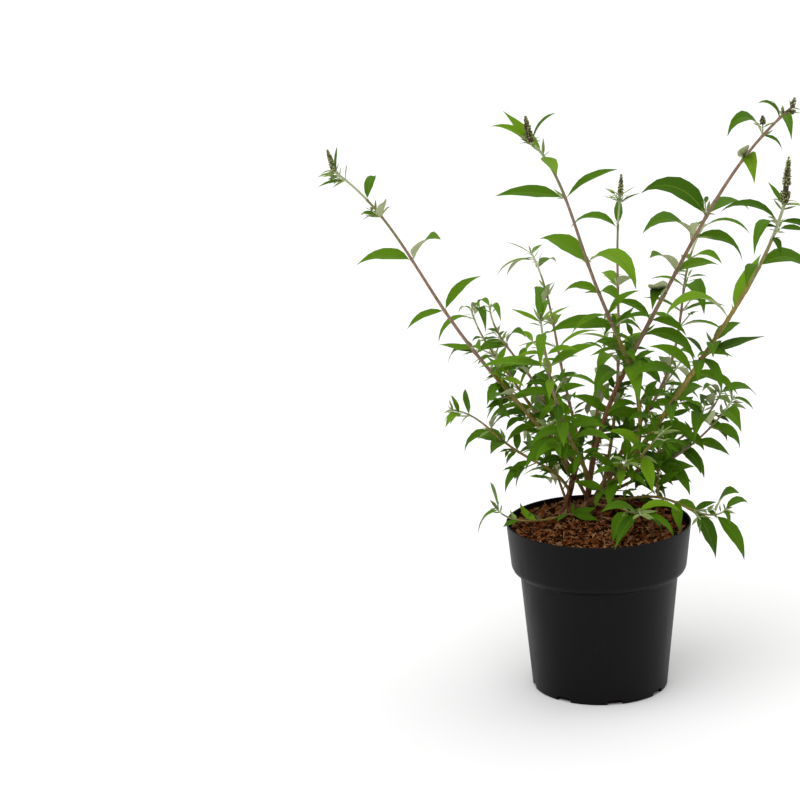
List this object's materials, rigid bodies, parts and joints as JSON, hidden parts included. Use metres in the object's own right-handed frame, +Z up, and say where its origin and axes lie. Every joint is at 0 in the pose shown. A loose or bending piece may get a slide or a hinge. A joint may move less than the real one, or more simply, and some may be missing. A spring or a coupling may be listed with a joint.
{
  "type": "potted butterfly bush",
  "caption": "Young butterfly bush in green bud: arching canes of narrow leaves from a short woody stump, in a round black nursery pot of potting bark.",
  "frame": {"origin": "centre of the pot's flat underside", "axes": "+Z up through the pot, +X to the right of the front view, +Y away from the front view"},
  "size_m": [0.4907, 0.3381, 0.6132],
  "materials": {
    "pot_plastic": "fine matt, soft sheen",
    "potting_bark": "rough moist bark",
    "young_wood": "dull bark",
    "foliage": "soft matt leaf"
  },
  "bodies": {
    "root": {"pot": "pot_plastic", "soil": "potting_bark", "stump": "young_wood", "bough_far_left": "young_wood", "bough_strong_right": "young_wood", "bough_left_centre": "young_wood", "bough_top_right": "young_wood", "bough_centre": "young_wood", "bough_thin_left": "young_wood", "bough_behind_right": "young_wood", "bough_low_left": "young_wood", "bough_outer_left": "young_wood", "bough_inner_left": "young_wood", "bough_leafy_left": "young_wood", "bough_right_low_upper": "young_wood", "bough_right_low": "young_wood", "bough_trailing_left": "young_wood", "bough_front_right": "young_wood", "bough_rim_right": "young_wood", "bough_small_right": "young_wood", "bough_upright_right": "young_wood", "bough_base_left": "young_wood", "bough_base_right": "young_wood", "bough_back_left": "young_wood", "bough_back": "young_wood", "bough_back_right": "young_wood", "bough_back_low": "young_wood", "shoot_far_left": "foliage", "shoot_strong_right": "foliage", "shoot_left_centre": "foliage", "shoot_top_right": "foliage", "shoot_centre": "foliage", "shoot_thin_left": "foliage", "shoot_behind_right": "foliage", "shoot_low_left": "foliage", "shoot_outer_left": "foliage", "shoot_inner_left": "foliage", "shoot_leafy_left": "foliage", "shoot_right_low_upper": "foliage", "shoot_right_low": "foliage", "shoot_trailing_left": "foliage", "shoot_front_right": "foliage", "shoot_rim_right": "foliage", "shoot_small_right": "foliage", "shoot_upright_right": "foliage", "shoot_base_left": "foliage", "shoot_base_right": "foliage", "shoot_back_left": "foliage", "shoot_back": "foliage", "shoot_back_right": "foliage", "shoot_back_low": "foliage"}
  },
  "joints": []
}
